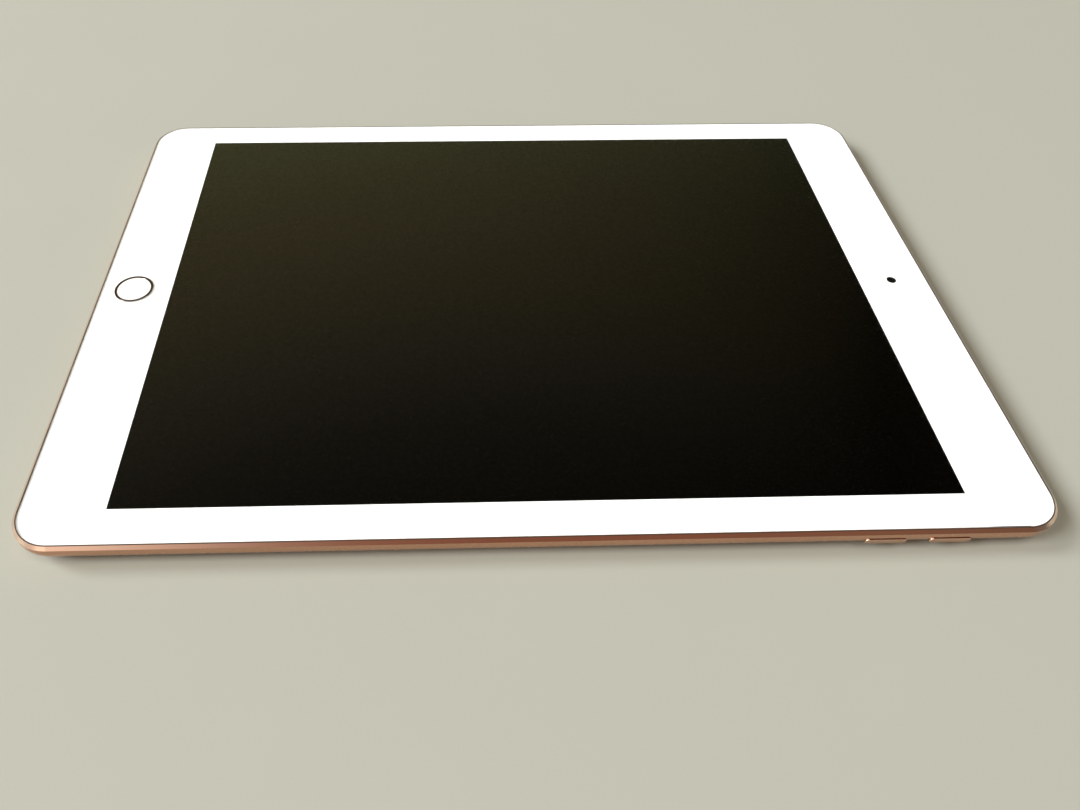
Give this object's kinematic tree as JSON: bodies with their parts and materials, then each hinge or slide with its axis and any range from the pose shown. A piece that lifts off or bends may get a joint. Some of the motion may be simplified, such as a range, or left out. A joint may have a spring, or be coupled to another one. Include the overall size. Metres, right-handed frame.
{
  "type": "tablet computer",
  "caption": "Slim tablet computer with a white-bordered glass front, round home button, side buttons, headphone socket, charging slot and a rounded aluminium housing.",
  "frame": {"origin": "centre of the flat back face, which the tablet lies on", "axes": "+Z out of the screen, +Y towards the front camera end, +X towards the volume buttons"},
  "size_m": [0.1697, 0.2403, 0.0075],
  "materials": {
    "housing": "bead-blasted anodised, polished chamfer",
    "button_metal": "satin anodised",
    "camera_trim": "polished",
    "glass": "clear, polished",
    "border": "printed white",
    "gasket": "matte",
    "adhesive": "soft tape",
    "white_tape": "soft tape",
    "touch_film": "clear film",
    "screen": "smooth, black when off",
    "diffuser": "frosted",
    "steel": "pressed sheet",
    "screw_steel": "turned",
    "flex": "polyimide film",
    "button_face": "hard glossy",
    "ring_metal": "polished, dark",
    "dark_plastic": "moulded",
    "silicon": "smooth",
    "camera_glass": "dark coated",
    "switch_metal": "satin",
    "contact_metal": "plated",
    "mesh_cloth": "fine woven acoustic mesh",
    "pouch": "foil pouch",
    "circuit": "solder mask",
    "magnet": "plated"
  },
  "bodies": {
    "housing": {"rear_case": "housing", "cover_glass": "glass", "glass_gasket": "gasket", "glass_adhesive": "adhesive", "bezel_mask": "border", "touch_sensor": "touch_film", "touch_flex": "flex", "lcd_panel": "screen", "light_guide": "diffuser", "display_tray": "steel", "display_screws": "screw_steel", "display_flex": "flex", "home_button_seal": "gasket", "home_button_bracket": "steel", "home_button_switch": "switch_metal", "home_button_flex": "flex", "front_camera_window": "camera_glass", "front_camera": "dark_plastic", "front_camera_gasket": "gasket", "front_camera_bracket": "steel", "light_sensor": "dark_plastic", "volume_bracket": "steel", "volume_switches": "switch_metal", "volume_flex": "flex", "power_bracket": "steel", "power_switch": "switch_metal", "power_flex": "flex", "bracket_screws": "screw_steel", "headphone_jack": "dark_plastic", "jack_contacts": "contact_metal", "charging_port": "steel", "port_contacts": "contact_metal", "port_screws": "screw_steel", "speaker_left": "dark_plastic", "speaker_right": "dark_plastic", "speaker_mesh": "mesh_cloth", "speaker_screws": "screw_steel", "microphone": "switch_metal", "rear_camera_window": "camera_glass", "rear_camera_ring": "camera_trim", "rear_camera": "dark_plastic", "battery_cell_left": "pouch", "battery_cell_right": "pouch", "battery_board": "circuit", "battery_lead": "flex", "battery_adhesive": "white_tape", "logic_board": "circuit", "board_chips": "dark_plastic", "board_shield": "steel", "board_connectors": "dark_plastic", "board_screws": "screw_steel", "wifi_antennas": "flex", "cover_magnets": "magnet"},
    "home_button": {"home_button_cap": "button_face", "home_button_ring": "ring_metal", "home_button_carrier": "dark_plastic", "fingerprint_sensor": "silicon"},
    "volume_up": {"volume_up_button": "button_metal"},
    "volume_down": {"volume_down_button": "button_metal"},
    "power": {"power_button": "button_metal"}
  },
  "joints": [
    {"name": "home_button_press", "type": "slide", "parent": "housing", "child": "home_button", "axis": [0, 0, -1], "range_m": [0, 0.00025], "stiffness_N_per_m": 500},
    {"name": "volume_up_press", "type": "slide", "parent": "housing", "child": "volume_up", "axis": [-1, 0, 0], "range_m": [0, 0.0002], "stiffness_N_per_m": 500},
    {"name": "volume_down_press", "type": "slide", "parent": "housing", "child": "volume_down", "axis": [-1, 0, 0], "range_m": [0, 0.0002], "stiffness_N_per_m": 500},
    {"name": "power_press", "type": "slide", "parent": "housing", "child": "power", "axis": [0, -1, 0], "range_m": [0, 0.0002], "stiffness_N_per_m": 500}
  ]
}
